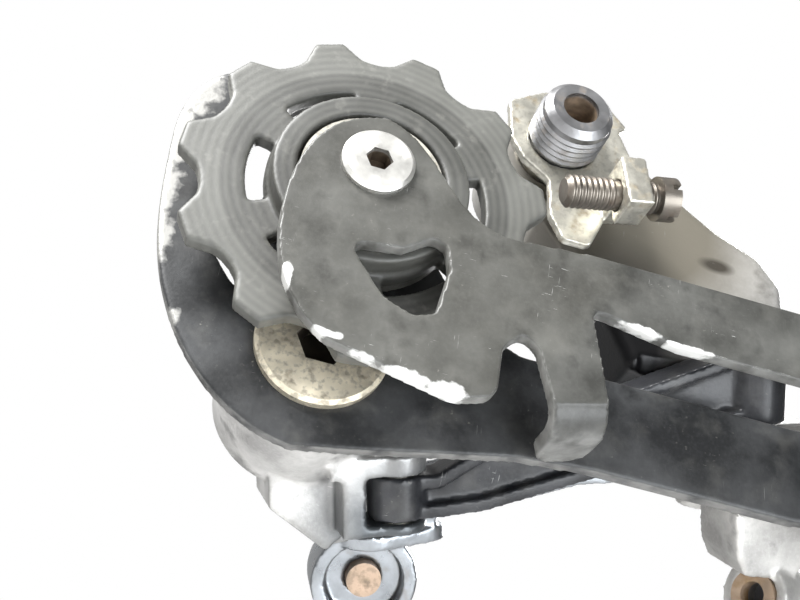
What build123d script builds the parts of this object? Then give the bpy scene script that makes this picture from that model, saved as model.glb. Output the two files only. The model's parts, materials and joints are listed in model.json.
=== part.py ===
from build123d import *
import os
from math import cos, sin, radians, pi

# Rear bicycle derailleur, long cage, seen as mounted on the right of a bicycle.
# +X is forward, +Y is inboard (towards the wheel), +Z is up.
# The origin is on the hanger bolt's axis, at the face that meets the frame's hanger.
# The rest pose is the relaxed one: links fully outboard, cage swung back on its stop.

# --- driving dimensions, mm ---
CHAIN_PITCH = 12.7
TEETH = 11
PLATE_T = 2.0               # cage plates
GUIDE = (26.2, -21.7)       # guide pulley axis, in x and z
P_AXIS = (27.0, -41.7)      # cage pivot axis
TENSION = (-64.8, -38.7)    # tension pulley axis
CHAIN_Y = 3.6               # middle plane of both pulleys
OUTER_Y = -3.6              # outboard face of the outer cage plate
INNER_Y = 8.2               # outboard face of the inner cage plate

HANGER_THREAD_R = 5.0       # M10 hanger bolt
HANGER_THREAD_L = 7.2
SHANK_R = 4.0
RUN = 0.05                  # radial running clearance of pivots
SKIN = 0.02                 # radial clearance of parts that are clamped together

SLANT = radians(36.87)      # pivot pins lean inboard from vertical
PITCH_DOWN = radians(20)    # links run down towards the front
REST_SWING = radians(-8)    # links point a little outboard at rest
LINK_L = 50.0
P_INNER = Vector(10.9, -20.5, -54.2)    # middle of the inner link's front pin
OUTER_B = -12.0             # outer pins lie this far outboard of the inner ones
INNER_EYES = ((12.0, 23.0), (1.2, 7.0))         # levels of the rear and front eyes
OUTER_EYES = ((-0.5, 8.0), (-3.9, 1.0))         # along the pins, for each link
EYE_R = 3.9                 # link eyes
PIN_R = 2.25

KNUCKLE_Y = -4.0            # inboard face of both knuckle barrels
B_BARREL_R = 8.5
B_BARREL_L = 13.0
P_BARREL_R = 11.5
P_BARREL_L = 17.5

CABLE_BOSS = Vector(-42.0, -23.5, -50.8)       # where the bare cable leaves the B knuckle
CABLE_DIR = Vector(0.88, 0.43, -0.2).normalized()

os.makedirs("parts", exist_ok=True)

# --- frames and small helpers ---
LINK_X = Vector(cos(PITCH_DOWN), 0, -sin(PITCH_DOWN))
PIN_DIR = Vector(cos(SLANT) * sin(PITCH_DOWN), sin(SLANT), cos(SLANT) * cos(PITCH_DOWN))
P_FRAME = Plane(origin=P_INNER, x_dir=LINK_X, z_dir=PIN_DIR)
LINK_END = Vector(LINK_L * cos(REST_SWING), LINK_L * sin(REST_SWING), 0)
B_FRAME = Plane(origin=P_FRAME.from_local_coords(-LINK_END), x_dir=LINK_X, z_dir=PIN_DIR)
CABLE_FRAME = Plane(origin=CABLE_BOSS, z_dir=CABLE_DIR)


def xz(y):
    """A sketch plane at height y whose own axes are the part's x and z, extruding outboard."""
    return Plane(origin=(0, y, 0), x_dir=(1, 0, 0), z_dir=(0, -1, 0))


def slab(face, y_high, thickness):
    """Extrude a flat x-z face from y_high outboard."""
    return extrude(xz(y_high) * face, thickness)


def disc(centre, y_high, length, radius, bore=0.0):
    """A cylinder or tube along y."""
    face = Circle(radius) - Circle(bore) if bore else Circle(radius)
    return slab(Pos(centre[0], centre[1]) * face, y_high, length)


def rod(frame, a, b, low, high, radius, bore=0.0):
    """A cylinder or tube along a frame's own z, standing at (a, b)."""
    face = Circle(radius) - Circle(bore) if bore else Circle(radius)
    return frame * Pos(a, b, low) * extrude(face, high - low)


def block(frame, a, b, c):
    """A box in a frame, from pairs of lowest and highest coordinates."""
    size = (a[1] - a[0], b[1] - b[0], c[1] - c[0])
    middle = (sum(a) / 2, sum(b) / 2, sum(c) / 2)
    return frame * Pos(*middle) * Box(*size)


def capsule(p, q, r_p, r_q):
    """A flat face round two circles of different sizes."""
    return make_hull(
        (Pos(*p) * Circle(r_p)).edges() + (Pos(*q) * Circle(r_q)).edges()
    )


def polar(centre, degrees, radius):
    """A placement at a polar position in x-z, turned so that its own x points outward."""
    angle = radians(degrees)
    at = (centre[0] + radius * cos(angle), centre[1] + radius * sin(angle))
    return Pos(*at) * Rot(0, 0, degrees)


def round_corners(face, corners):
    """Fillet the corners of a flat face that are named by their position."""
    for x, z, radius in corners:
        nearest = face.vertices().sort_by_distance((x, z, 0))[0]
        face = fillet([nearest], radius)
    return face


def hex_socket(centre, y_high, depth, across, axis_sign=1):
    """The prism that a hex socket removes; axis_sign -1 cuts in from the outboard side."""
    prism = Pos(*centre) * RegularPolygon(across / 2, 6, major_radius=False)
    return slab(prism, y_high if axis_sign > 0 else y_high + depth, depth)


def save(name, shape):
    """Write one node."""
    export_step(shape, f"parts/{name}.step")


# --- hanger bolt, its bushing, and the stop plate that the frame's hanger clamps ---
TAB_ANGLE = 136.0           # where the stop plate's tab stands about the bolt, in degrees
LUG_ANGLE = 157.0           # and the knuckle's lug that swings against it
STOP_Y = -1.3               # outboard face of the stop plate
BOLT_HEAD_Y = -14.6         # inboard face of the hanger bolt's head
BOLT_HEAD_R = 6.6
BUSHING_R = 5.2             # no wider, so that the cage's rim can swing past it


def hanger_bolt():
    thread = disc((0, 0), HANGER_THREAD_L, HANGER_THREAD_L, HANGER_THREAD_R)
    thread = chamfer(thread.edges().group_by(Axis.Y)[-1], 0.9)
    shank = disc((0, 0), 0, -BOLT_HEAD_Y, SHANK_R)
    head = disc((0, 0), BOLT_HEAD_Y, 3.0, BOLT_HEAD_R)
    head = chamfer(head.edges().group_by(Axis.Y)[0], 0.6)
    bolt = thread + shank + head
    bolt -= hex_socket((0, 0), BOLT_HEAD_Y - 3.0, 2.6, 5.0, -1)
    return bolt - disc((0, 0), HANGER_THREAD_L, 5.0, 2.6)


SCREW_TILT = radians(13.2)  # the tension screw climbs towards the rear
SCREW_Y = 7.2
SCREW_R = 2.0
SCREW_DROP = 14.4           # the screw's axis passes this far below the bolt's
SCREW_TIP = 4.9             # and its tip stands this far in front of the bolt's axis
SCREW_L = 13.1
EAR_FROM, EAR_TO = 9.0, 11.0      # the ear's faces, along the screw
EAR_ROOT = (-5.8, -1.2)           # the ear's narrow root, across the screw
EAR_WIDE = (-4.0, 3.2)            # its wide end, that holds the screw
EAR_LIP = 1.6                     # how much thicker that end is, towards the screw's tip


def screw_frame():
    """The tension screw's frame: x is inboard, y is down, and z runs rearward from its tip."""
    along = Vector(-cos(SCREW_TILT), 0, sin(SCREW_TILT))
    below = Vector(-sin(SCREW_TILT), 0, -cos(SCREW_TILT))
    origin = below * SCREW_DROP - along * SCREW_TIP + Vector(0, SCREW_Y, 0)
    return Plane(origin=origin, x_dir=(0, 1, 0), z_dir=along)


def b_stop_plate():
    outline = Polyline(
        (8.6, 4.6), (7.6, -2.0), (5.4, -5.2), (1.4, -7.8), (0.8, -13.6), (-1.4, -17.2),
        (-5.4, -17.2), (-7.6, -11.0), (-12.6, -9.4), (-13.4, -5.0), (-10.2, 1.0),
        (-7.4, 6.6), (-3.0, 8.6), (3.4, 8.2), close=True,
    )
    face = make_face(outline)
    plate = slab(fillet(face.vertices(), 1.1), 0, -STOP_Y)
    frame = screw_frame()
    below_screw = -SCREW_Y + STOP_Y
    root = block(frame, (below_screw, 0.0), EAR_ROOT, (EAR_FROM, EAR_TO))
    wide = block(frame, (-2.1, 3.4), EAR_WIDE, (EAR_FROM - EAR_LIP, EAR_TO))
    tab = slab(polar((0, 0), TAB_ANGLE, 10.2) * Rectangle(1.4, 5.0), STOP_Y + 0.2, 4.4)
    bridge = slab(polar((0, 0), TAB_ANGLE, 9.0) * Rectangle(3.8, 5.0), 0, -STOP_Y)
    plate = plate + root + wide + bridge + tab
    plate -= rod(frame, 0, 0, EAR_FROM - EAR_LIP - 1, EAR_TO + 1, SCREW_R + RUN)
    return plate - disc((0, 0), 1, 4, HANGER_THREAD_R + 0.1)


def b_tension_screw():
    frame = screw_frame()
    head_l = 2.5
    screw = rod(frame, 0, 0, 0, SCREW_L, SCREW_R)
    screw = chamfer(screw.edges().group_by(Axis.X)[-1], 0.4)
    head = rod(frame, 0, 0, SCREW_L, SCREW_L + head_l, 3.0)
    slot = (SCREW_L + head_l - 1.2, SCREW_L + head_l + 1)
    cross = block(frame, (-0.4, 0.4), (-3.5, 3.5), slot)
    cross += block(frame, (-3.5, 3.5), (-0.4, 0.4), slot)
    return screw + head - cross


def hanger_bushing():
    return disc((0, 0), STOP_Y, STOP_Y - BOLT_HEAD_Y - 0.2, BUSHING_R, SHANK_R + SKIN)


# --- B knuckle: hangs on the bolt and carries the rear pivots ---
EAR_GAP = 0.3               # between a link's eye and the ears on either side of it
EAR_T = 2.8
P_LOW_EAR_T = 1.4           # the front knuckle's lower ear is thinner
EAR_R = 4.0
B_SPRING_ROOM_R = 7.2
CABLE_BOSS_R = 5.2
LIMIT_AT = (-11.5, -17.5)   # where the two limit screws stand along x
LIMIT_Z = -2.6
LIMIT_R = 1.5
ARM_Y = -6.6                # inboard face of the B knuckle's arm
ARM_T = 9.6


def ear_levels(eye, low_t=EAR_T):
    """Levels of the ears below and above an eye."""
    return ((eye[0] - EAR_GAP - low_t, eye[0] - EAR_GAP),
            (eye[1] + EAR_GAP, eye[1] + EAR_GAP + EAR_T))


def side_slab(frame, points, b_low, b_high):
    """A plate cut out in a frame's x-z plane, between two depths across it."""
    side = frame * Location((0, 0, 0), (90, 0, 0))
    face = make_face(Polyline(*points, close=True))
    return side * Pos(0, 0, -b_high) * extrude(face, b_high - b_low)


def b_knuckle_ears():
    """Ears for both rear pins, the narrow spine behind them, and the casting's foot."""
    inner_low, inner_high = ear_levels(INNER_EYES[0])
    outer_low, outer_high = ear_levels(OUTER_EYES[0])
    outer_b = (OUTER_B - 3.4, OUTER_B + 4.4)
    solid = rod(B_FRAME, 0, 0, *inner_high, EAR_R) + rod(B_FRAME, 0, 0, *inner_low, EAR_R)
    for level in (outer_low, outer_high):
        solid += rod(B_FRAME, 0, OUTER_B, *level, EAR_R)
        solid += block(B_FRAME, (-9.4, 0), outer_b, level)
    solid += block(B_FRAME, (-4, 4), (-12, 0), inner_high)
    solid += block(B_FRAME, (-6.4, 0), (-7.7, 3.4), inner_low)
    solid += block(B_FRAME, (-9.4, -4.6), outer_b, (outer_low[0], 15.0))
    solid += block(B_FRAME, (-6.4, -0.5), (-7.7, -4.3), (outer_low[0], 24.0))
    foot = ((-8.6, outer_low[1]), (3.2, outer_low[1]), (2.8, -7.0), (1.4, -10.0),
            (-6.4, -11.5), (-8.6, -9.0))
    return solid + side_slab(B_FRAME, foot, -7.9, 1.6)


def b_knuckle_pin_holes(radius):
    """Bores for both rear pins."""
    holes = rod(B_FRAME, 0, 0, INNER_EYES[0][0] - 5, INNER_EYES[0][1] + 6, radius)
    return holes + rod(B_FRAME, 0, OUTER_B, OUTER_EYES[0][0] - 5, OUTER_EYES[0][1] + 6, radius)


def b_knuckle():
    barrel = disc((0, 0), KNUCKLE_Y, B_BARREL_L, B_BARREL_R)
    arm_face = make_face(Polyline(
        (2.0, 8.2), (-9.0, 8.4), (-16.5, 5.2), (-22.0, 1.4), (-28.0, -2.4), (-34.6, -5.0),
        (-38.4, -9.5), (-38.8, -22.0), (-36.0, -29.2), (-15.0, -29.6), (-9.6, -20.0),
        (0.0, -8.4), close=True,
    ))
    arm_face = fillet(arm_face.vertices(), 1.6)
    arm = slab(arm_face, ARM_Y, ARM_T)
    arm = chamfer(arm.faces().sort_by(Axis.Y)[-1].edges(), 1.2)
    body = barrel + arm + b_knuckle_ears()
    body += rod(CABLE_FRAME, 0, 0, -13.0, 0, CABLE_BOSS_R)
    body += slab(polar((0, 0), LUG_ANGLE, 9.6) * Rectangle(3.6, 1.8), KNUCKLE_Y, 3.4)
    body -= disc((0, 0), KNUCKLE_Y + 1, 40, BUSHING_R + RUN)
    body -= disc((0, 0), KNUCKLE_Y - 2.4, -BOLT_HEAD_Y + KNUCKLE_Y - 3.6, B_SPRING_ROOM_R)
    body -= disc((0, 0), BOLT_HEAD_Y + 0.2, 20, BOLT_HEAD_R + 0.4)
    body -= b_knuckle_pin_holes(PIN_R + SKIN)
    body -= rod(B_FRAME, 0, 0, *INNER_EYES[0], EYE_R + 0.4)
    body -= block(link_frame(0), (0, 16), (-3.3, 3.3), INNER_EYES[0])
    body -= rod(CABLE_FRAME, 0, 0, -14, 1, 2.5 + RUN)
    body -= rod(CABLE_FRAME, 0, 0, -1.7, 1, 3.5 + SKIN)
    for x in LIMIT_AT:
        body -= limit_rod(x, LIMIT_R + RUN, -4.0, 9.0)
    return body


def limit_rod(x, radius, low, high):
    """A rod along y for the limit screws, from low to high above the arm's outboard face."""
    return slab(Pos(x, LIMIT_Z) * Circle(radius), ARM_Y - ARM_T + high, high - low)


def limit_screw(x):
    screw = limit_rod(x, LIMIT_R, -1.8, 8.0)
    head = limit_rod(x, 2.4, -3.6, -1.8)
    slot = slab(Pos(x, LIMIT_Z) * Rectangle(5, 0.7), ARM_Y - ARM_T - 2.8, 1.5)
    return screw + head - slot


def b_spring():
    length = -BOLT_HEAD_Y + KNUCKLE_Y - 4.2
    return disc((0, 0), KNUCKLE_Y - 2.7, length, B_SPRING_ROOM_R - 0.2, 5.6)


def cable_ferrule():
    return rod(CABLE_FRAME, 0, 0, -1.6, 0.3, 3.5, 1.9)


def barrel_adjuster():
    stem = rod(CABLE_FRAME, 0, 0, -22.0, -4.0, 2.5)
    knob = rod(CABLE_FRAME, 0, 0, -29.0, -20.0, 4.6)
    grips = [CABLE_FRAME * Rot(0, 0, 45 * k) * Pos(4.9, 0, -24) * Cylinder(0.9, 6.0)
             for k in range(8)]
    body = stem + knob
    for grip in grips:
        body -= grip
    body -= rod(CABLE_FRAME, 0, 0, -30, -22.0, 2.6)
    return body - rod(CABLE_FRAME, 0, 0, -23, -3, 0.9)


def adjuster_spring():
    return rod(CABLE_FRAME, 0, 0, -19.8, -13.2, 3.7, 2.8)


def pivot_pins(frame, inner, outer):
    """Both pins of one knuckle, pressed into its ears or its lug."""
    return Compound([rod(frame, 0, 0, *inner, PIN_R), rod(frame, 0, OUTER_B, *outer, PIN_R)])


def b_pivot_pins():
    inner_low, inner_high = ear_levels(INNER_EYES[0])
    outer_low, outer_high = ear_levels(OUTER_EYES[0])
    return pivot_pins(B_FRAME, (inner_low[0] + 0.4, inner_high[1] - 0.2),
                      (outer_low[0] + 0.3, outer_high[1] - 0.3))


def p_pivot_pins():
    inner_low, inner_high = ear_levels(INNER_EYES[1], P_LOW_EAR_T)
    fork_low, fork_high = fork_levels()
    return pivot_pins(P_FRAME, (inner_low[0] + 0.2, inner_high[1] - 0.3),
                      (fork_low[0] + 0.1, fork_high[1] + 0.2))


# --- links ---
WEB_T = 2.6
RIM_T = 5.4                 # a link is thicker along its edges
RIM_W = 1.8


def link_frame(b):
    """A link's own frame: x runs from its rear pin to its front pin."""
    return B_FRAME * Location((0, b, 0), (0, 0, REST_SWING * 180 / pi))


def link_body(frame, points, eyes):
    """A flat bar with raised edges, an eye at the rear pin, and one at the front if asked."""
    half_rim, half_web = RIM_T / 2, WEB_T / 2
    body = side_slab(frame, points, -half_rim, half_rim)
    side = frame * Location((0, 0, 0), (90, 0, 0))
    pocket = extrude(offset(make_face(Polyline(*points, close=True)), -RIM_W), 4.0)
    body -= side * Pos(0, 0, half_web) * pocket
    body -= side * Pos(0, 0, -half_web - 4.0) * pocket
    for along, (low, high) in zip((0, LINK_L), eyes):
        body += rod(frame, along, 0, low, high, EYE_R)
        body -= rod(frame, along, 0, low - 9, high + 9, PIN_R + RUN)
    return body


def inner_link():
    outline = ((0, 12.0), (5, 12.0), (23.5, 5.5), (38.7, 1.8), (45.5, 1.2), (LINK_L, 1.2),
               (LINK_L, 7.0), (45.0, 7.0), (38.0, 11.0), (0, 23.0))
    return link_body(link_frame(0), outline, INNER_EYES)


FORK_R = 5.4                # rounded ends of the outer link's front fork
FORK_T = 2.2
FORK_BACK = 7.5             # how far behind the pin the fork's ears reach
WEB_END = LINK_L - 4.7      # the web stops behind the front pin
ANCHOR = (LINK_L + 1.3, -11.8)      # the cable anchor's place: along the link, along the pin
ANCHOR_R = 7.6
ANCHOR_B = (-2.5, 4.5)      # inboard and outboard faces of its boss, counted outboard


def fork_levels():
    low, high = OUTER_EYES[1]
    return ((low - EAR_GAP - FORK_T, low - EAR_GAP), (high + EAR_GAP, high + EAR_GAP + FORK_T))


def outer_link():
    """A bar with an eye at the rear, and a fork and the cable anchor's boss at the front."""
    frame = link_frame(OUTER_B)
    outline = ((0, -0.5), (8, 0.8), (20, 0.8), (34, -2.2), (WEB_END, -3.1), (WEB_END, 3.4),
               (36, 5.0), (0, 8.0))
    body = link_body(frame, outline, OUTER_EYES[:1])
    fork_low, fork_high = fork_levels()
    for low, high in (fork_low, fork_high):
        plate = capsule((LINK_L, 0), (LINK_L - FORK_BACK, 0), FORK_R, 3.0)
        body += frame * Pos(0, 0, low) * extrude(plate, high - low)
    body += block(frame, (LINK_L - 9, WEB_END), (-2.6, 2.6), (fork_low[0], fork_high[1]))
    anchor = anchor_frame()
    body += rod(anchor, 0, 0, *ANCHOR_B, ANCHOR_R)
    body -= rod(anchor, 0, 0, ANCHOR_B[0] - 1, 0, ANCHOR_R - 2.0)
    body -= rod(frame, LINK_L, 0, fork_low[0] - 0.5, fork_high[1] + 1, PIN_R + RUN)
    return body - rod(anchor, 0, 0, -5, 6, 2.5 + SKIN)


def anchor_frame():
    """Frame of the cable anchor bolt: z points outboard, square to the outer link's web."""
    return link_frame(OUTER_B) * Location((ANCHOR[0], 0, ANCHOR[1]), (90, 0, 0))


def cable_anchor_bolt():
    frame = anchor_frame()
    seat = ANCHOR_B[1] + 0.9
    head_l = 3.4
    shank = rod(frame, 0, 0, -1.6, seat, 2.5)
    head = frame * Pos(0, 0, seat) * extrude(RegularPolygon(4.0, 6, major_radius=False), head_l)
    return shank + head - rod(frame, 0, 0, seat + 1.2, seat + head_l + 1, 2.2)


def cable_clamp_washer():
    frame = anchor_frame()
    return frame * Pos(0, 0, ANCHOR_B[1]) * extrude(Circle(4.9) - Circle(2.5 + SKIN), 0.9)


# --- P knuckle: carries the cage ---
P_WALL_Y = (-17.6, -19.1)   # the wall that the axle's far end runs in
P_SPRING_ROOM_R = 8.4
SPINE = (4.9, 9.6)          # how far in front of the pins the knuckle's spine stands
STOP_R = 15.8               # radius of the cage stop pin about the P axis
STOP_ANGLE = 150.0          # where the pin stands at rest, in degrees
STOP_LUG_ANGLE = 135.6


def p_knuckle_ears():
    """Ears for the inner front pin, a lug for the outer one, and the spine in front."""
    near, far = SPINE
    low, high = ear_levels(INNER_EYES[1], P_LOW_EAR_T)
    lug = OUTER_EYES[1]
    inner_b, outer_b = (-3.4, 3.4), (OUTER_B - 3.0, OUTER_B + 3.0)
    solid = rod(P_FRAME, 0, 0, *high, EAR_R) + rod(P_FRAME, 0, 0, *low, EAR_R)
    solid += rod(P_FRAME, 0, OUTER_B, *lug, EYE_R)
    solid += block(P_FRAME, (near, far), (outer_b[0], -5.0), (lug[0], high[1]))
    solid += block(P_FRAME, (near, far - 1.6), (-6.0, inner_b[1]), (low[0], high[1]))
    cheek = ((near, low[0]), (9.2, -3.4), (16.5, 3.0), (16.5, 10.0), (near, 11.0))
    solid += side_slab(P_FRAME, cheek, -11.5, -1.5)
    solid += block(P_FRAME, (0, far), inner_b, high)
    solid += block(P_FRAME, (0, far - 1.6), inner_b, low)
    solid += block(P_FRAME, (0, far), outer_b, lug)
    room_high = fork_levels()[1][1] + 0.6
    room = rod(P_FRAME, 0, OUTER_B, lug[1] + 0.1, room_high, FORK_R + 0.4)
    room += block(P_FRAME, (-9, 0), (OUTER_B - 6, OUTER_B + 6), (lug[1] + 0.1, room_high))
    return solid - room


def p_knuckle_pin_holes(radius):
    """Bores for both front pins."""
    return rod(P_FRAME, 0, 0, -8, 16, radius) + rod(P_FRAME, 0, OUTER_B, -9, 9, radius)


def p_knuckle():
    body = disc(P_AXIS, KNUCKLE_Y, P_BARREL_L, P_BARREL_R)
    body = chamfer(body.edges().group_by(Axis.Y)[0], 1.2)
    body += p_knuckle_ears()
    lug = polar(P_AXIS, STOP_LUG_ANGLE, STOP_R - 2.6) * Rectangle(8.4, 3.4)
    body += slab(lug, KNUCKLE_Y, 4.0)
    body -= disc(P_AXIS, KNUCKLE_Y + 1, 40, 5.0 + RUN)
    body -= disc(P_AXIS, KNUCKLE_Y + 1, KNUCKLE_Y + 1 - P_WALL_Y[0], P_SPRING_ROOM_R)
    body -= disc(P_AXIS, P_WALL_Y[1], 30, 8.0)
    return body - p_knuckle_pin_holes(PIN_R + SKIN)


def p_bushing():
    return disc(P_AXIS, KNUCKLE_Y + 0.1, 3.0, P_SPRING_ROOM_R - SKIN, 5.0 + RUN)


def p_spring():
    top = KNUCKLE_Y - 3.2
    return disc(P_AXIS, top, top - P_WALL_Y[0] - 0.3, P_SPRING_ROOM_R - 0.3, 6.0)


def p_knuckle_cap():
    cap = disc(P_AXIS, P_WALL_Y[1] - 1.0, 1.8, 8.0 - SKIN)
    return chamfer(cap.edges().group_by(Axis.Y)[0], 0.5)


# --- cage ---
def p_axle():
    head = disc(P_AXIS, OUTER_Y + PLATE_T + 1.5, 1.5, 8.4)
    head = chamfer(head.edges().group_by(Axis.Y)[-1], 0.5)
    shank = disc(P_AXIS, OUTER_Y + PLATE_T, OUTER_Y + PLATE_T - P_WALL_Y[1], 5.0)
    stub = disc(P_AXIS, P_WALL_Y[1], 0.9, 3.6)
    body = head + shank + stub
    return body - hex_socket(P_AXIS, OUTER_Y + PLATE_T + 1.5, 5.0, 6.0)


def p_axle_clip():
    return disc(P_AXIS, P_WALL_Y[1] - 0.05, 0.8, 6.4, 3.6 + SKIN)


def bolt_bore(centre, y_high, length):
    return disc(centre, y_high, length, 2.5 + SKIN)


ARM_LOW_OUTER, ARM_HIGH_OUTER = -48.9, -35.9      # edges of the outer plate's arm
ARM_LOW_INNER, ARM_HIGH_INNER = -36.0, -26.25     # and of the inner plate's
END_R = 7.4                 # the plates' round rear ends
STRAIGHT_TO = -36.0         # both arms run straight as far back as this
WINDOWS = ((8, 15.5, 15.0), (56, 15.5, 12.0), (-40, 16.5, 10.0))


def tail(low, high):
    """The rear end of a plate: from its arm's edges to a round end at the tension pulley."""
    x, z = TENSION
    return [
        Line((STRAIGHT_TO, low), (x, z - END_R)),
        ThreePointArc((x, z - END_R), (x - END_R, z), (x, z + END_R)),
        Line((x, z + END_R), (STRAIGHT_TO, high)),
    ]


def cage_outer_plate():
    rim = Spline((36.0, 1.0), (43.6, -1.8), (49.0, -5.0), (52.0, -11.0), (52.0, -19.0),
                 (50.0, -32.0), (45.0, -43.6), (38.3, -51.0), (28.0, -55.3))
    outline = [
        rim,
        Polyline((28.0, -55.3), (21.3, -54.1), (0.9, -49.7), (-9.0, ARM_LOW_OUTER),
                 (STRAIGHT_TO, ARM_LOW_OUTER)),
        *tail(ARM_LOW_OUTER, ARM_HIGH_OUTER),
        Polyline((STRAIGHT_TO, ARM_HIGH_OUTER), (2.0, ARM_HIGH_OUTER), (9.0, -33.0),
                 (14.6, -26.0), (16.2, -15.0), (22.0, -10.5), (29.0, -8.0), (36.0, 1.0)),
    ]
    face = make_face([edge for stretch in outline for edge in stretch.edges()])
    face = round_corners(face, [(36.0, 1.0, 2.0), (29.0, -8.0, 3.0), (22.0, -10.5, 4.0),
                                (16.2, -15.0, 4.0), (14.6, -26.0, 4.0), (9.0, -33.0, 4.0),
                                (2.0, ARM_HIGH_OUTER, 5.0)])
    plate = slab(face, OUTER_Y + PLATE_T, PLATE_T)
    for centre in (GUIDE, TENSION):
        plate -= bolt_bore(centre, 5, 20)
    for angle, reach, size in WINDOWS:
        cut = polar(GUIDE, angle, reach) * Rot(0, 0, 90) * SlotOverall(size, 6.4)
        plate -= slab(cut, 5, 20)
    plate -= disc(P_AXIS, 5, 20, 5.0 + SKIN)
    return plate - slab(polar(P_AXIS, STOP_ANGLE, STOP_R) * Circle(1.5 + SKIN), 5, 20)


def cage_inner_plate():
    lobe_top = (26.2, -14.25)
    outline = [
        Spline(lobe_top, (33.2, -18.6), (36.1, -29.6), (33.0, -42.2), (27.6, -47.2)),
        Polyline((27.6, -47.2), (12.4, -50.4), (7.6, -49.0), (7.6, -42.4), (5.4, -39.8),
                 (3.4, -41.4), (1.0, -48.0), (-5.6, -46.2), (-2.7, -34.2), (-6.0, -34.6),
                 (-14.0, ARM_LOW_INNER), (STRAIGHT_TO, ARM_LOW_INNER)),
        *tail(ARM_LOW_INNER, ARM_HIGH_INNER),
        Polyline((STRAIGHT_TO, ARM_HIGH_INNER), (-3.0, ARM_HIGH_INNER), (6.0, -27.0)),
        Spline((6.0, -27.0), (14.6, -24.4), (20.0, -18.2), lobe_top),
    ]
    face = make_face([edge for stretch in outline for edge in stretch.edges()])
    face = round_corners(face, [(12.4, -50.4, 4.0), (7.6, -49.0, 2.4), (7.6, -42.4, 1.2),
                                (5.4, -39.8, 1.4), (3.4, -41.4, 1.2), (-2.7, -34.2, 0.8),
                                (27.6, -47.2, 3.0)])
    plate = slab(face, INNER_Y + PLATE_T, PLATE_T) + hook()
    plate -= slab(heart(), 20, 20)
    for centre in (GUIDE, TENSION):
        plate -= bolt_bore(centre, 20, 20)
    return plate


def heart():
    """The rounded triangular window in the inner plate."""
    face = make_face(Polyline(
        (27.0, -34.6), (26.0, -33.6), (21.0, -32.8), (17.8, -30.3), (16.0, -30.8),
        (15.2, -34.0), (16.0, -40.4), (18.6, -41.4), (22.4, -40.0), close=True,
    ))
    return fillet(face.vertices(), 1.1)


HOOK_TURN = radians(16.0)   # the hook's tab leans back by this
HOOK_BEND_R = 2.6
HOOK_REACH = 8.2            # how far its tip stands outboard of the plate
HOOK_WIDTH = 6.8
HOOK_TIP_R = 3.0


def hook():
    """The chain catcher: the tab's lower end, bent outboard towards the outer plate."""
    rearward = Vector(-cos(HOOK_TURN), 0, sin(HOOK_TURN))
    plane = Plane(origin=(-1.9, INNER_Y, -45.6), x_dir=(0, 1, 0), z_dir=rearward)
    down = 1 if plane.y_dir.Z < 0 else -1
    inside, outside = HOOK_BEND_R, HOOK_BEND_R + PLATE_T
    bend = make_face([
        Line((0, 0), (PLATE_T, 0)),
        RadiusArc((PLATE_T, 0), (-inside, down * outside), -down * outside),
        Line((-inside, down * outside), (-HOOK_REACH, down * outside)),
        Line((-HOOK_REACH, down * outside), (-HOOK_REACH, down * inside)),
        Line((-HOOK_REACH, down * inside), (-inside, down * inside)),
        RadiusArc((-inside, down * inside), (0, 0), down * inside),
    ])
    tab = extrude(bend, HOOK_WIDTH)
    tab = fillet(tab.edges().filter_by(Axis.Y).group_by(Axis.X)[0], HOOK_TIP_R)
    return plane * Pos(0, 0, -HOOK_WIDTH / 2) * tab


def cage_stop_pin():
    at = polar(P_AXIS, STOP_ANGLE, STOP_R)
    pin = slab(at * Circle(1.5), OUTER_Y + PLATE_T, PLATE_T + 3.8)
    return pin + slab(at * Circle(2.0), OUTER_Y - 0.2, 3.4)


def pulley_bolt(centre):
    top = INNER_Y + PLATE_T
    shank = disc(centre, top, top - OUTER_Y, 2.5)
    head = disc(centre, top + 1.0, 1.0, 4.6)
    head = chamfer(head.edges().group_by(Axis.Y)[-1], 0.45)
    return shank + head - hex_socket(centre, top + 1.0, 2.6, 3.0)


def pulley_bushing(centre):
    length = INNER_Y - OUTER_Y - PLATE_T
    return disc(centre, INNER_Y, length, 5.0, 2.5 + SKIN)


def dust_caps(centre):
    caps = [disc(centre, CHAIN_Y + 3.7, 0.8, 9.2, 5.0 + SKIN),
            disc(centre, CHAIN_Y - 2.9, 0.8, 9.2, 5.0 + SKIN)]
    return Compound(caps)


# --- pulleys ---
PITCH_R = CHAIN_PITCH / 2 / sin(pi / TEETH)
TIP_R = PITCH_R + 1.65
VALLEY_R = TIP_R - 2.9
TOOTH_T = 2.3
FIRST_TOOTH = 67.1          # degrees from +x towards +z


def tooth_point(turn, radius):
    angle = radians(FIRST_TOOTH + turn)
    return (radius * cos(angle), radius * sin(angle))


def pulley_face():
    """The toothed outline: flat tips and hollow valleys."""
    step = 360 / TEETH
    lines = []
    for k in range(TEETH):
        at = k * step
        flat = 4.6
        foot = 10.4
        lines += [
            Line(tooth_point(at - foot, VALLEY_R + 0.3), tooth_point(at - flat, TIP_R)),
            Line(tooth_point(at - flat, TIP_R), tooth_point(at + flat, TIP_R)),
            Line(tooth_point(at + flat, TIP_R), tooth_point(at + foot, VALLEY_R + 0.3)),
            ThreePointArc(tooth_point(at + foot, VALLEY_R + 0.3),
                          tooth_point(at + step / 2, VALLEY_R - 0.2),
                          tooth_point(at + step - foot, VALLEY_R + 0.3)),
        ]
    return make_face(lines)


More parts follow.
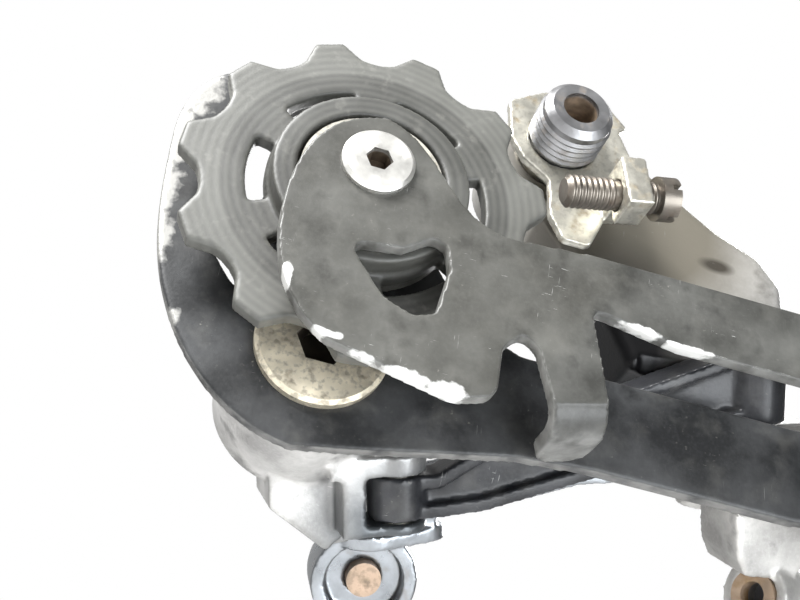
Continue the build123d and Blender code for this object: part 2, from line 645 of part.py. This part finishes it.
def pulley(centre):
    at = Pos(*centre)
    body = slab(at * pulley_face(), CHAIN_Y + TOOTH_T / 2, TOOTH_T)
    body += disc(centre, CHAIN_Y + 4.1, 7.5, 12.57)
    body -= disc(centre, 20, 40, 5.0 + RUN)
    for y_high in (CHAIN_Y + 20, CHAIN_Y - 2.6):
        body -= disc(centre, y_high, 17.4, 9.5)
    window = Circle(15.5) - Circle(13.1)
    for k in range(6):
        wedge = make_face(Polyline((0, 0), (30 * cos(radians(19)), 30 * sin(radians(19))),
                                   (30 * cos(radians(19)), -30 * sin(radians(19))), close=True))
        cut = Rot(0, 0, 54 + 60 * k) * (window & wedge)
        body -= slab(at * cut, CHAIN_Y + 10, 20)
    return body


def main():
    save("hanger_bolt", hanger_bolt())
    save("hanger_bushing", hanger_bushing())
    save("b_stop_plate", b_stop_plate())
    save("b_tension_screw", b_tension_screw())
    save("b_knuckle", b_knuckle())
    save("b_spring", b_spring())
    save("b_pivot_pins", b_pivot_pins())
    save("high_limit_screw", limit_screw(LIMIT_AT[0]))
    save("low_limit_screw", limit_screw(LIMIT_AT[1]))
    save("cable_ferrule", cable_ferrule())
    save("barrel_adjuster", barrel_adjuster())
    save("adjuster_spring", adjuster_spring())
    save("inner_link", inner_link())
    save("outer_link", outer_link())
    save("cable_anchor_bolt", cable_anchor_bolt())
    save("cable_clamp_washer", cable_clamp_washer())
    save("p_knuckle", p_knuckle())
    save("p_pivot_pins", p_pivot_pins())
    save("p_bushing", p_bushing())
    save("p_spring", p_spring())
    save("p_knuckle_cap", p_knuckle_cap())
    save("p_axle", p_axle())
    save("p_axle_clip", p_axle_clip())
    save("cage_outer_plate", cage_outer_plate())
    save("cage_inner_plate", cage_inner_plate())
    save("cage_stop_pin", cage_stop_pin())
    for name, centre in (("guide", GUIDE), ("tension", TENSION)):
        save(f"{name}_pulley", pulley(centre))
        save(f"{name}_pulley_bolt", pulley_bolt(centre))
        save(f"{name}_bushing", pulley_bushing(centre))
        save(f"{name}_dust_caps", dust_caps(centre))


main()
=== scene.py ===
import json
import math

import bmesh
import bpy
from mathutils import Matrix, Vector


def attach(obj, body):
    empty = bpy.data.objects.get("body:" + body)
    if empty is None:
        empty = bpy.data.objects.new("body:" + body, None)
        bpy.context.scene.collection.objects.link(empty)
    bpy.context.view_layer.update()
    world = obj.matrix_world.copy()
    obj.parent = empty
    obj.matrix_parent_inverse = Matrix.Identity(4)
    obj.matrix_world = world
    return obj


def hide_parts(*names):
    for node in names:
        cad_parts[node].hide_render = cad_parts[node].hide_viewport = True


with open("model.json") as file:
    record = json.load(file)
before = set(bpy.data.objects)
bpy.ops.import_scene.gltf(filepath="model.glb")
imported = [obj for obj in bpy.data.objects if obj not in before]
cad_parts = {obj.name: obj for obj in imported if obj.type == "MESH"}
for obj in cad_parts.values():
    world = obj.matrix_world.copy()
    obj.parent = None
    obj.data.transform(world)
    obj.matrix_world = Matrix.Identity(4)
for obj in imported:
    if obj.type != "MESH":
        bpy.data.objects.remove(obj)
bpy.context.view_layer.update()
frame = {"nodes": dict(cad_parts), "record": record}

MM = 0.001
BODY_OF = {
    node: body
    for body, nodes in frame["record"]["behaviour"]["bodies"].items()
    for node in nodes
}
SLOT_OF = {part["node"]: part["material_slot"] for part in frame["record"]["subparts"]}
JOINTS = {joint["name"]: joint for joint in frame["record"]["behaviour"]["joints"]}


# --- materials ---
class Shader:
    """A small helper that adds nodes to one material and links them."""

    def __init__(self, name):
        self.material = bpy.data.materials.new(name)
        self.material.use_nodes = True
        self.tree = self.material.node_tree
        self.surface = self.tree.nodes["Principled BSDF"]
        self.place = self.node("ShaderNodeTexCoord").outputs["Object"]

    def node(self, kind, **settings):
        made = self.tree.nodes.new(kind)
        for key, value in settings.items():
            setattr(made, key, value)
        return made

    def link(self, source, target):
        if isinstance(source, (int, float, tuple)):
            target.default_value = source
        else:
            self.tree.links.new(source, target)

    def maths(self, operation, a, b=0.0, clamp=False):
        made = self.node("ShaderNodeMath", operation=operation, use_clamp=clamp)
        self.link(a, made.inputs[0])
        self.link(b, made.inputs[1])
        return made.outputs[0]

    def noise(self, size, detail=4.0, stretch=(1, 1, 1), turn=(0, 0, 0)):
        """Noise whose blobs are about `size` metres across."""
        mapping = self.node("ShaderNodeMapping")
        self.link(self.place, mapping.inputs["Vector"])
        mapping.inputs["Rotation"].default_value = turn
        mapping.inputs["Scale"].default_value = stretch
        made = self.node("ShaderNodeTexNoise")
        self.link(mapping.outputs[0], made.inputs["Vector"])
        made.inputs["Scale"].default_value = 1 / size
        made.inputs["Detail"].default_value = detail
        return made.outputs["Fac"]

    def ramp(self, value, low, high):
        """0 below low, 1 above high, and a straight climb between."""
        made = self.node("ShaderNodeMapRange")
        self.link(value, made.inputs["Value"])
        made.inputs["From Min"].default_value = low
        made.inputs["From Max"].default_value = high
        return made.outputs["Result"]

    def mix(self, factor, a, b):
        made = self.node("ShaderNodeMix", data_type="RGBA")
        self.link(factor, made.inputs["Factor"])
        self.link((*a, 1) if isinstance(a, tuple) else a, made.inputs["A"])
        self.link((*b, 1) if isinstance(b, tuple) else b, made.inputs["B"])
        return made.outputs["Result"]

    def edges(self, radius):
        """1 along convex and concave edges, 0 on flat stretches."""
        bevel = self.node("ShaderNodeBevel", samples=8)
        bevel.inputs["Radius"].default_value = radius
        plain = self.node("ShaderNodeNewGeometry").outputs["Normal"]
        dot = self.node("ShaderNodeVectorMath", operation="DOT_PRODUCT")
        self.link(bevel.outputs[0], dot.inputs[0])
        self.link(plain, dot.inputs[1])
        return self.maths("SUBTRACT", 1.0, dot.outputs["Value"], clamp=True)

    def cut_sides(self):
        """1 on the cut sides of a plate that lies square to y, 0 on its flat faces."""
        parts = self.node("ShaderNodeSeparateXYZ")
        self.link(self.node("ShaderNodeTexCoord").outputs["Normal"], parts.inputs[0])
        return self.ramp(self.maths("ABSOLUTE", parts.outputs["Y"]), 0.75, 0.35)

    def distance(self, centre, stretch):
        """Distance in metres from a place given in mm, with each axis stretched first."""
        apart = self.node("ShaderNodeVectorMath", operation="SUBTRACT")
        self.link(self.place, apart.inputs[0])
        apart.inputs[1].default_value = Vector(centre) * MM
        scaled = self.node("ShaderNodeVectorMath", operation="MULTIPLY")
        self.link(apart.outputs[0], scaled.inputs[0])
        scaled.inputs[1].default_value = stretch
        length = self.node("ShaderNodeVectorMath", operation="LENGTH")
        self.link(scaled.outputs[0], length.inputs[0])
        return length.outputs["Value"]

    def reach(self, centre):
        """Distance in metres from an axis along y through a place in the part's frame."""
        return self.distance(centre, (1, 0, 1))

    def spot(self, centre, radius, stretch=(1, 1, 1)):
        """1 at a place in the part's frame, fading to 0 at a radius."""
        return self.ramp(self.distance(centre, stretch), radius * MM, 0.0)

    def finish(self, colour, roughness, metallic, height=None, depth=0.0):
        self.link(colour, self.surface.inputs["Base Color"])
        self.link(roughness, self.surface.inputs["Roughness"])
        self.link(metallic, self.surface.inputs["Metallic"])
        if height is not None:
            bump = self.node("ShaderNodeBump")
            bump.inputs["Strength"].default_value = 0.5
            bump.inputs["Distance"].default_value = depth
            self.link(height, bump.inputs["Height"])
            self.link(bump.outputs[0], self.surface.inputs["Normal"])
        return self.material


def coated(name, colour, bare=(0.62, 0.62, 0.60), wear=0.5, roughness=0.42, sheen=0.0,
           chips=(), side_wear=0.0, shade_and_tint_spots=(), rub=None, gloss=0.5):
    """Paint that has worn to bare metal along its edges, with scratches, chips and dust, and
    painted shade at any spots given.
    """
    s = Shader(name)
    s.surface.inputs["Specular IOR Level"].default_value = gloss
    light = tuple(c * 2.1 + 0.02 for c in colour)
    paint = s.mix(s.ramp(s.noise(0.009, 6.0), 0.38, 0.66), colour, light)
    patch = s.ramp(s.noise(0.006, 3.0), 0.50, 0.66)
    dust = s.maths("MULTIPLY", s.ramp(s.noise(0.0006, 3.0), 0.66, 0.80), patch)
    paint = s.mix(s.maths("MULTIPLY", dust, 0.30), paint, (0.42, 0.40, 0.35))
    haze = s.maths("MULTIPLY", s.ramp(s.noise(0.0035, 8.0), 0.50, 0.75), 0.12)
    paint = s.mix(haze, paint, (0.20, 0.195, 0.175))
    grime = s.maths("MULTIPLY", s.ramp(s.noise(0.0045, 7.0), 0.55, 0.70), 0.75)
    paint = s.mix(grime, paint, tuple(c * 0.45 for c in colour))
    grit = s.maths("MULTIPLY", s.ramp(s.noise(0.00045, 2.0), 0.45, 0.75), 0.10)
    paint = s.mix(grit, paint, tuple(c * 2.6 + 0.05 for c in colour))
    # Each spot darkens and tints the paint in place: painted shade, in one spot mixed with a
    # brownish stain's tint.
    for centre, radius, stretch, tone in shade_and_tint_spots:
        paint = s.mix(s.ramp(s.spot(centre, radius, stretch), 0.1, 0.6), paint,
                      tuple(c * t for c, t in zip(colour, tone)))
    if rub is not None:
        centre, radius = rub
        ragged = s.maths("MULTIPLY", s.noise(0.004, 4.0), 0.003)
        inside = s.ramp(s.maths("ADD", s.reach(centre), ragged), radius + 0.0022, radius)
        paint = s.mix(s.maths("MULTIPLY", inside, 0.045), paint, (0.26, 0.25, 0.21))
    ragged = s.ramp(s.noise(0.0014, 6.0), 0.62 - 0.22 * wear, 0.70 - 0.1 * wear)
    worn = s.maths("MULTIPLY", s.ramp(s.edges(0.00045), 0.02, 0.12), ragged)
    sides = s.maths("MULTIPLY", s.cut_sides(), s.ramp(s.noise(0.0025, 7.0), 0.30, 0.62))
    worn = s.maths("MAXIMUM", worn, s.maths("MULTIPLY", sides, side_wear))
    rare = s.ramp(s.noise(0.005, 2.0), 0.56, 0.64)
    scratch = s.ramp(s.noise(0.0016, 3.0, (1, 1, 16), (0, 0.9, 0)), 0.70, 0.73)
    other = s.ramp(s.noise(0.0040, 3.0, (18, 1, 1), (0, -0.6, 0)), 0.70, 0.73)
    marks = s.maths("MULTIPLY", s.maths("MAXIMUM", scratch, other), rare)
    worn = s.maths("MAXIMUM", worn, s.maths("MULTIPLY", marks, 0.45))
    for centre, radius, stretch in chips:
        near = s.spot(centre, radius, stretch)
        edge = s.maths("ADD", near, s.maths("MULTIPLY", s.noise(0.0016, 8.0), 0.9))
        worn = s.maths("MAXIMUM", worn, s.ramp(edge, 0.80, 1.0))
    rough = s.maths("ADD", roughness - 0.06, s.maths("MULTIPLY", s.noise(0.003), 0.14))
    metallic = s.maths("ADD", sheen, s.maths("MULTIPLY", worn, 0.55 - sheen))
    return s.finish(s.mix(worn, paint, bare), rough, metallic,
                    s.noise(0.0005, 3.0), 0.00004)


def bare_metal(name, colour, roughness=0.3, stain=(0.30, 0.20, 0.11), stained=0.25,
               grain=0.0006, speckled=0.0, sockets=()):
    """Plated or machined metal with stains, fine grain, and rust mixed with painted shade down in
    its sockets.
    """
    s = Shader(name)
    dark = tuple(c * 0.62 for c in colour)
    base = s.mix(s.ramp(s.noise(0.004), 0.3, 0.7), dark, colour)
    marks = s.ramp(s.noise(0.0022, 6.0), 0.68 - 0.3 * stained, 0.80 - 0.2 * stained)
    base = s.mix(s.maths("MULTIPLY", marks, min(1.0, 0.3 + stained)), base, stain)
    specks = s.maths("MULTIPLY", s.ramp(s.noise(0.0009, 8.0), 0.50, 0.62), speckled)
    base = s.mix(specks, base, (0.035, 0.030, 0.022))
    marks = s.maths("MAXIMUM", marks, specks)
    for centre, radius, pale in sockets:
        # Down in each socket the metal turns to rust mixed with near-black painted shade.
        deep = s.ramp(s.spot(centre, radius), 0.0, 0.10)
        rust_and_shade = s.mix(s.noise(0.0012, 6.0), (0.012, 0.010, 0.008),
                     (0.16 * pale, 0.12 * pale, 0.085 * pale))
        base = s.mix(deep, base, rust_and_shade)
        marks = s.maths("MAXIMUM", marks, deep)
    rough = s.maths("ADD", roughness, s.maths("MULTIPLY", s.noise(0.002), 0.25))
    metallic = s.maths("SUBTRACT", 0.92, s.maths("MULTIPLY", marks, 0.5))
    return s.finish(base, rough, metallic, s.noise(grain, 4.0), 0.00005)


RING_STEP = 0.0011          # spacing of the moulding marks round a pulley
TOOTH_RING = 0.0186         # radius where a pulley's face changes texture


def plastic(name, colour, roughness=0.45, scuff=0.3, centre=None):
    """Moulded resin with a soft mottle, polish marks and dust; rings about a wheel's centre."""
    s = Shader(name)
    light = tuple(c * 1.6 + 0.012 for c in colour)
    base = s.mix(s.ramp(s.noise(0.006), 0.3, 0.7), colour, light)
    patch = s.ramp(s.noise(0.005, 3.0), 0.48, 0.66)
    dust = s.maths("MULTIPLY", s.ramp(s.noise(0.0012, 7.0), 0.50, 0.80), patch)
    base = s.mix(s.maths("MULTIPLY", dust, scuff), base, (0.30, 0.29, 0.26))
    edge = s.maths("MULTIPLY", s.ramp(s.edges(0.0004), 0.02, 0.2), scuff)
    base = s.mix(edge, base, (0.30, 0.30, 0.28))
    height = s.noise(0.0006, 3.0)
    if centre is not None:
        radius = s.reach(centre)
        rings = s.maths("SINE", s.maths("MULTIPLY", radius, 2 * math.pi / RING_STEP))
        rings = s.ramp(rings, -1.0, 1.0)
        height = s.maths("ADD", height, s.maths("MULTIPLY", rings, 0.35))
        base = s.mix(s.maths("MULTIPLY", rings, 0.12), base, (0.16, 0.16, 0.14))
        outside = s.ramp(radius, TOOTH_RING - 0.0003, TOOTH_RING + 0.0003)
        base = s.mix(s.maths("MULTIPLY", outside, 0.16), base, (0.22, 0.22, 0.20))
    rough = s.maths("ADD", roughness, s.maths("MULTIPLY", s.noise(0.002), 0.15))
    return s.finish(base, rough, 0.0, height, 0.00004)


OUTER_CHIPS = (                         # place, radius, and stretch
    ((45.0, -2.6, -2.6), 6.0, (1, 1, 1.3)),
    ((51.2, -2.6, -8.0), 8.0, (1.3, 1, 0.9)),
    ((52.4, -2.6, -17.0), 9.0, (1.7, 1, 0.8)),
    ((52.0, -2.6, -25.5), 9.0, (1.9, 1, 0.8)),
    ((50.4, -2.6, -33.5), 8.0, (2.0, 1, 0.9)),
    ((45.6, -2.6, -43.4), 4.0, (1.6, 1, 1.2)),
)
INNER_CHIPS = (
    ((13.6, 10.2, -50.0), 4.2, (1.0, 1, 2.0)),
    ((19.0, 10.2, -49.4), 6.4, (0.9, 1, 3.8)),
    ((24.5, 10.2, -48.4), 5.0, (0.9, 1, 5.0)),
    ((29.0, 10.2, -46.6), 4.6, (1.0, 1, 4.8)),
    ((33.6, 10.2, -41.0), 4.0, (3.6, 1, 0.9)),
    ((-8.0, 10.2, -35.4), 5.4, (0.9, 1, 3.8)),
    ((-15.0, 10.2, -36.0), 4.6, (0.8, 1, 5.0)),
)
ARM_SHADE_AND_TINT = (                           # place, radius, stretch, and tint
    # A broad brownish darkening, strongest behind the hanger bolt: partly a stain's tint, partly
    # painted shade fading toward the arm's far end.
    ((-14.0, -7.0, -4.0), 30.0, (1, 1, 1), (0.60, 0.56, 0.47)),
    # A dark oval painted over the arm's slot as its shade.
    ((-27.4, -6.6, -9.2), 3.6, (1, 1, 2.2), (0.2, 0.18, 0.15)),
    # Near-black painted shade over the arm's lower part, where it sits in shadow.
    ((-10.0, -9.0, -27.0), 22.0, (1, 1, 1), (0.02, 0.02, 0.025)),
)
FORK_SHADE = ((11.5, -20.0, -53.5), 15.0, (1, 1, 1), (0.20, 0.225, 0.25))
PLATE_RUB = ((26.2, 0, -21.7), 0.033)
GUIDE_CENTRE = (26.2, 0, -21.7)
TENSION_CENTRE = (-64.8, 0, -38.7)
HANGER_SOCKET = ((0, 3.5, 0), 4.2, 2.4)         # place, radius, and how pale its rust and painted shade are
AXLE_SOCKET = ((27.0, -3.2, -41.7), 4.2, 0.3)
GUIDE_SOCKET = ((26.2, 9.2, -21.7), 2.2, 1.0)
TENSION_SOCKET = ((-64.8, 9.2, -38.7), 2.2, 1.0)


def make_materials():
    """One finish for each material slot in the record, and some nodes' own finishes."""
    grease = (0.10, 0.075, 0.045)
    made = {
        "plate_black": coated("plate_black", (0.030, 0.030, 0.029), wear=0.6),
        "pulley_black": plastic("pulley_black", (0.040, 0.040, 0.037)),
        "cast_grey": coated("cast_grey", (0.34, 0.335, 0.325), wear=0.3, roughness=0.32,
                            sheen=0.5),
        "link_black": coated("link_black", (0.006, 0.0065, 0.008), wear=0.2, roughness=0.32,
                             gloss=0.3),
        "link_silver": bare_metal("link_silver", (0.27, 0.285, 0.30), 0.18, stained=0.25,
                                  stain=(0.14, 0.13, 0.12)),
        "steel_plated": bare_metal("steel_plated", (0.68, 0.66, 0.58), 0.28, stained=0.5,
                                   stain=(0.20, 0.15, 0.08), speckled=0.25),
        "steel_black": bare_metal("steel_black", (0.20, 0.18, 0.155), 0.30, stained=0.5,
                                  stain=(0.07, 0.05, 0.035)),
        "bolt_silver": bare_metal("bolt_silver", (0.80, 0.79, 0.75), 0.24, stained=0.2,
                                  sockets=(GUIDE_SOCKET, TENSION_SOCKET)),
        "axle_steel": bare_metal("axle_steel", (0.80, 0.73, 0.58), 0.42, stained=0.45,
                                 stain=grease, speckled=0.5, sockets=(AXLE_SOCKET,)),
        "spring_steel": bare_metal("spring_steel", (0.42, 0.42, 0.42), 0.35, stained=0.3),
        "ferrule_brass": bare_metal("ferrule_brass", (0.50, 0.38, 0.28), 0.45, stained=0.7),
        "seal_plastic": plastic("seal_plastic", (0.05, 0.05, 0.05)),
        "adjuster_plastic": plastic("adjuster_plastic", (0.06, 0.06, 0.065)),
        "bushing_bronze": bare_metal("bushing_bronze", (0.45, 0.36, 0.24), 0.4, stained=0.5),
    }
    own = {
        "cage_outer_plate": coated("outer_plate_black", (0.010, 0.0105, 0.011), wear=0.8,
                                   bare=(0.25, 0.247, 0.235), chips=OUTER_CHIPS,
                                   side_wear=0.45, gloss=0.3),
        "cage_inner_plate": coated("inner_plate_black", (0.021, 0.021, 0.0185), wear=0.6,
                                   chips=INNER_CHIPS, side_wear=0.15, rub=PLATE_RUB,
                                   gloss=0.4),
        "b_knuckle": coated("b_knuckle_grey", (0.25, 0.245, 0.235), wear=0.3, roughness=0.34,
                            sheen=0.45, shade_and_tint_spots=ARM_SHADE_AND_TINT),
        "p_knuckle": coated("p_knuckle_grey", (0.25, 0.246, 0.238), wear=0.3, roughness=0.32,
                            sheen=0.5, shade_and_tint_spots=(FORK_SHADE,)),
        "hanger_bolt": bare_metal("hanger_steel", (0.29, 0.29, 0.295), 0.26, stained=0.35,
                                  stain=(0.12, 0.09, 0.06), sockets=(HANGER_SOCKET,)),
        "cable_anchor_bolt": bare_metal("anchor_steel", (0.36, 0.27, 0.20), 0.4, stained=0.5,
                                        stain=grease, speckled=0.3),
        "guide_pulley": plastic("guide_resin", (0.024, 0.024, 0.021), centre=GUIDE_CENTRE),
        "tension_pulley": plastic("tension_resin", (0.024, 0.024, 0.021),
                                  centre=TENSION_CENTRE),
    }
    return made, own


# --- pieces ---
def finish_of(node):
    """A node's own finish, or else its slot's."""
    return OWN_FINISH.get(node, MATERIALS[SLOT_OF[node]])


def place_piece(piece, node):
    """Let a piece stand for a CAD node: same body, same slot, same finish."""
    bpy.context.scene.collection.objects.link(piece)
    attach(piece, BODY_OF[node])
    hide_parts(node)
    piece.data.materials.clear()
    piece.data.materials.append(finish_of(node))


def solid_mesh(loose):
    """The mesh of a loose curve, or of a loose mesh with its modifiers applied."""
    bpy.context.scene.collection.objects.link(loose)
    graph = bpy.context.evaluated_depsgraph_get()
    mesh = bpy.data.meshes.new_from_object(loose.evaluated_get(graph))
    bpy.data.objects.remove(loose)
    mesh.polygons.foreach_set("use_smooth", [True] * len(mesh.polygons))
    return mesh


def softened(node, voxel, rounds, name):
    """A copy of a CAD node whose corners are rounded like a casting's or a stamping's."""
    loose = bpy.data.objects.new(name + "_loose", frame["nodes"][node].data.copy())
    remesh = loose.modifiers.new("voxels", "REMESH")
    remesh.mode = "VOXEL"
    remesh.voxel_size = voxel * MM
    smooth = loose.modifiers.new("smooth", "SMOOTH")
    smooth.factor = 0.5
    smooth.iterations = rounds
    place_piece(bpy.data.objects.new(name, solid_mesh(loose)), node)


def lathe(name, profile, origin, axis, turns=56):
    """A closed ring swept round an axis from (radius, along) points, in mm."""
    mesh = bpy.data.meshes.new(name)
    shape = bmesh.new()
    rings = []
    for step in range(turns):
        angle = 2 * math.pi * step / turns
        rings.append([
            shape.verts.new((r * math.cos(angle), r * math.sin(angle), z)) for r, z in profile
        ])
    count = len(profile)
    for step in range(turns):
        here, after = rings[step], rings[(step + 1) % turns]
        for k in range(count):
            other = (k + 1) % count
            shape.faces.new((here[k], after[k], after[other], here[other]))
    bmesh.ops.recalc_face_normals(shape, faces=shape.faces)
    turn = Vector((0, 0, 1)).rotation_difference(Vector(axis)).to_matrix().to_4x4()
    shape.transform(Matrix.Translation(Vector(origin)) @ turn @ Matrix.Scale(MM, 4))
    shape.to_mesh(mesh)
    shape.free()
    return bpy.data.objects.new(name, mesh)


def thread_profile(core, crest, pitch, low, high):
    """A zigzag of thread ridges on a hidden core."""
    points = [(core - 0.5, low)]
    at = low
    while at + pitch <= high:
        points += [(core, at), (crest, at + 0.38 * pitch), (crest, at + 0.56 * pitch)]
        at += pitch
    return points + [(core, at), (core - 0.5, at)]


def ridges(name, node, core, crest, pitch, low, high, origin, axis):
    """Thread ridges that stand on a CAD shank, riding with it."""
    piece = lathe(name, thread_profile(core, crest, pitch, low, high), origin, axis)
    bpy.context.scene.collection.objects.link(piece)
    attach(piece, BODY_OF[node])
    piece.data.materials.append(finish_of(node))
    return piece


def coil(name, node, radius, wire, turns, start, axis, length):
    """A helical spring in place of its plain CAD tube."""
    steps = 24 * turns
    curve = bpy.data.curves.new(name + "_loose", "CURVE")
    curve.dimensions = "3D"
    curve.bevel_depth = wire * MM
    curve.bevel_resolution = 4
    spline = curve.splines.new("POLY")
    spline.points.add(steps)
    turn = Vector((0, 0, 1)).rotation_difference(Vector(axis)).to_matrix()
    for k in range(steps + 1):
        angle = 2 * math.pi * turns * k / steps
        local = Vector((radius * math.cos(angle), radius * math.sin(angle), length * k / steps))
        spline.points[k].co = (*(Vector(start) + turn @ local * MM), 1)
    loose = bpy.data.objects.new(name + "_loose", curve)
    place_piece(bpy.data.objects.new(name, solid_mesh(loose)), node)


MATERIALS, OWN_FINISH = make_materials()

CASTINGS = {"b_knuckle": 6, "p_knuckle": 6, "inner_link": 5, "outer_link": 4}
STAMPINGS = ("cage_outer_plate", "cage_inner_plate", "b_stop_plate")
MOULDINGS = ("guide_pulley", "tension_pulley")
for node, rounds in CASTINGS.items():
    softened(node, 0.36, rounds, node + "_cast")
for node in STAMPINGS:
    softened(node, 0.30, 2, node + "_stamped")
for node in MOULDINGS:
    softened(node, 0.30, 2, node + "_moulded")

REPLACED = {*CASTINGS, *STAMPINGS, *MOULDINGS, "adjuster_spring"}
for node, shown in frame["nodes"].items():
    if node not in REPLACED:
        shown.data.materials.clear()
        shown.data.materials.append(finish_of(node))

ridges("hanger_thread", "hanger_bolt", 4.95, 5.35, 1.0, 0.4, 6.3, (0, 0, 0), (0, 1, 0))

screw_axis = -Vector(JOINTS["tension_screw_travel"]["axis"])
SCREW_TIP, SCREW_DROP, SCREW_LEVEL = 4.9, 14.4, 7.2
below = Vector((-screw_axis.z, 0, screw_axis.x))
screw_tip = (below * SCREW_DROP - screw_axis * SCREW_TIP) * MM
screw_tip.y = SCREW_LEVEL * MM
ridges("tension_thread_front", "b_tension_screw", 1.95, 2.22, 0.8, 0.3, 7.3,
       screw_tip, screw_axis)
ridges("tension_thread_rear", "b_tension_screw", 1.95, 2.22, 0.8, 11.2, 13.0,
       screw_tip, screw_axis)

adjuster = JOINTS["adjuster_turn"]
adjuster_axis = Vector(adjuster["axis"])
ADJUSTER_BEHIND = 10.0
boss = Vector(adjuster["pos_m"]) + adjuster_axis * ADJUSTER_BEHIND * MM
coil("adjuster_coil", "adjuster_spring", 3.2, 0.42, 5, boss - adjuster_axis * 19.3 * MM,
     adjuster_axis, 5.8)


# --- stage, light and camera ---
def stage_floor():
    mesh = bpy.data.meshes.new("floor")
    half, level = 3.0, -0.30
    mesh.from_pydata([(-half, -half, level), (half, -half, level), (half, half, level),
                      (-half, half, level)], [], [(0, 1, 2, 3)])
    floor = bpy.data.objects.new("floor", mesh)
    bpy.context.scene.collection.objects.link(floor)
    pale = bpy.data.materials.new("floor_pale")
    pale.use_nodes = True
    pale.node_tree.nodes["Principled BSDF"].inputs["Base Color"].default_value = (0.9, 0.9, 0.9, 1)
    pale.node_tree.nodes["Principled BSDF"].inputs["Roughness"].default_value = 0.9
    mesh.materials.append(pale)


def area_light(name, place, aim, size, power, colour=(1, 1, 1)):
    lamp = bpy.data.lights.new(name, "AREA")
    lamp.size = size
    lamp.energy = power
    lamp.color = colour
    holder = bpy.data.objects.new(name, lamp)
    holder.location = place
    holder.rotation_euler = (Vector(aim) - Vector(place)).to_track_quat("-Z", "Y").to_euler()
    bpy.context.scene.collection.objects.link(holder)


CAMERA_AT = Vector((35.74, 114.07, -106.09)) * MM
CAMERA_AIM = Vector((19.43, 3.6, -35.80)) * MM
CAMERA_ROLL = math.radians(10.66)
LENS = 49.05


def camera():
    lens = bpy.data.cameras.new("camera")
    lens.lens = LENS
    lens.sensor_width = 36
    lens.clip_start = 0.005
    holder = bpy.data.objects.new("camera", lens)
    aim = (CAMERA_AIM - CAMERA_AT).to_track_quat("-Z", "Y")
    turn = aim.to_matrix() @ Matrix.Rotation(CAMERA_ROLL, 3, "Z")
    holder.matrix_world = Matrix.Translation(CAMERA_AT) @ turn.to_4x4()
    bpy.context.scene.collection.objects.link(holder)
    bpy.context.scene.camera = holder


ROOM_LIGHT = (0.32, 0.92)               # the room's light from its dark side and its bright side
DARK_PATCH = 0.25                       # how bright its dark patches are beside the rest
BRIGHT_SIDE = (0.45, 0.35, 0.82)


def white_room():
    """A white room that is white to the camera and patchy to everything it lights."""
    world = bpy.data.worlds.new("white room")
    world.use_nodes = True
    sky = world.node_tree
    direction = sky.nodes.new("ShaderNodeTexCoord").outputs["Generated"]

    def between(value, low, high, to_low, to_high):
        made = sky.nodes.new("ShaderNodeMapRange")
        sky.links.new(value, made.inputs["Value"])
        made.inputs["From Min"].default_value = low
        made.inputs["From Max"].default_value = high
        for name, end in (("To Min", to_low), ("To Max", to_high)):
            if isinstance(end, float):
                made.inputs[name].default_value = end
            else:
                sky.links.new(end, made.inputs[name])
        return made.outputs["Result"]

    patches = sky.nodes.new("ShaderNodeTexNoise")
    patches.inputs["Scale"].default_value = 1.6
    patches.inputs["Detail"].default_value = 1.0
    sky.links.new(direction, patches.inputs["Vector"])
    up = sky.nodes.new("ShaderNodeVectorMath")
    up.operation = "DOT_PRODUCT"
    up.inputs[1].default_value = BRIGHT_SIDE
    sky.links.new(direction, up.inputs[0])
    gradient = between(up.outputs["Value"], -1.0, 1.0, *ROOM_LIGHT)
    dark = sky.nodes.new("ShaderNodeMath")
    dark.operation = "MULTIPLY"
    dark.inputs[1].default_value = DARK_PATCH
    sky.links.new(gradient, dark.inputs[0])
    lit = between(patches.outputs["Fac"], 0.42, 0.56, dark.outputs[0], gradient)
    seen = sky.nodes.new("ShaderNodeLightPath").outputs["Is Camera Ray"]
    strength = between(seen, 0.0, 1.0, lit, 1.0)
    sky.nodes["Background"].inputs["Color"].default_value = (1, 1, 1, 1)
    sky.links.new(strength, sky.nodes["Background"].inputs["Strength"])
    return world


bpy.context.scene.world = white_room()
bpy.context.scene.view_settings.view_transform = "Standard"

stage_floor()
area_light("key", (0.30, 0.26, 0.30), CAMERA_AIM, 0.22, 10.0)
area_light("low_fill", (-0.20, 0.30, -0.22), CAMERA_AIM, 0.30, 3.0, (0.92, 0.96, 1.0))
area_light("far_fill", (-0.22, -0.36, 0.24), CAMERA_AIM, 0.30, 5.0)
camera()
